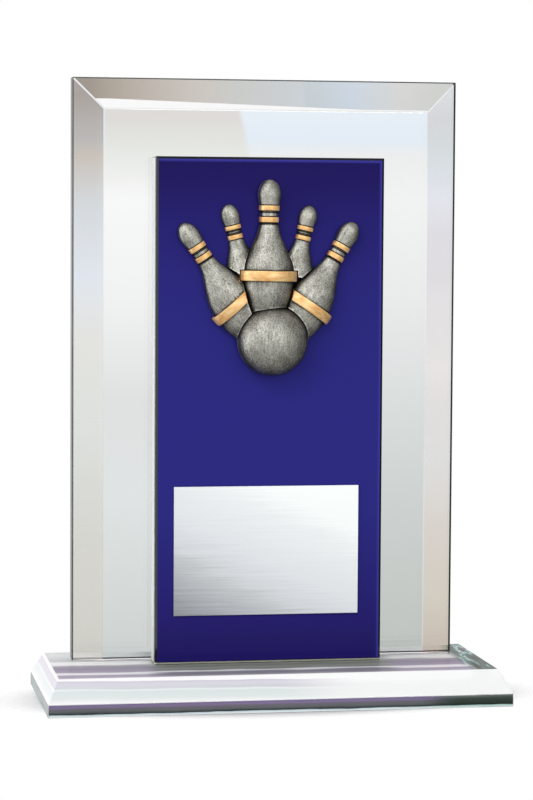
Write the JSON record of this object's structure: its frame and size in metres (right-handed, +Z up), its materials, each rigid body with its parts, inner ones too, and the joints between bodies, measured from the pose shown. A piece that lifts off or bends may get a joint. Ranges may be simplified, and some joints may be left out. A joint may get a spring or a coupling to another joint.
{
  "type": "bowling trophy",
  "caption": "Bevelled clear glass award on a bevelled glass base, with a blue glass face that carries a cast emblem of fanned pins and a ball above a brushed engraving plate.",
  "frame": {"origin": "middle of the base's underside, where the trophy stands", "axes": "+Z up, -Y towards the front face with the emblem, +X to the viewer's right as they face it"},
  "size_m": [0.158, 0.067, 0.2123],
  "materials": {
    "clear_glass": "polished",
    "blue_glass": "polished, coated deep blue on its back",
    "adhesive": "clear, cured by UV light",
    "brushed_metal": "brushed along its width, lacquered",
    "antique_silver": "cast resin with a rubbed antique silver coat",
    "gold_paint": "cast resin, satin gold paint",
    "foam_tape": "double-sided acrylic foam tape"
  },
  "bodies": {
    "root": {"base_slab": "clear_glass", "back_plate": "clear_glass", "riser": "clear_glass", "blue_face": "blue_glass", "plate_to_base_film": "adhesive", "riser_to_base_film": "adhesive", "riser_to_plate_film": "adhesive", "blue_face_film": "adhesive", "engraving_plate": "brushed_metal", "engraving_plate_tape": "foam_tape", "emblem_tape": "foam_tape", "ball": "antique_silver", "centre_pin": "antique_silver", "left_outer_pin": "antique_silver", "right_outer_pin": "antique_silver", "left_inner_pin": "antique_silver", "right_inner_pin": "antique_silver", "centre_belly_band": "gold_paint", "left_outer_belly_band": "gold_paint", "right_outer_belly_band": "gold_paint", "centre_upper_neck_band": "gold_paint", "centre_lower_neck_band": "gold_paint", "left_outer_upper_neck_band": "gold_paint", "left_outer_lower_neck_band": "gold_paint", "right_outer_upper_neck_band": "gold_paint", "right_outer_lower_neck_band": "gold_paint", "left_inner_upper_neck_band": "gold_paint", "left_inner_lower_neck_band": "gold_paint", "right_inner_upper_neck_band": "gold_paint", "right_inner_lower_neck_band": "gold_paint"}
  },
  "joints": []
}
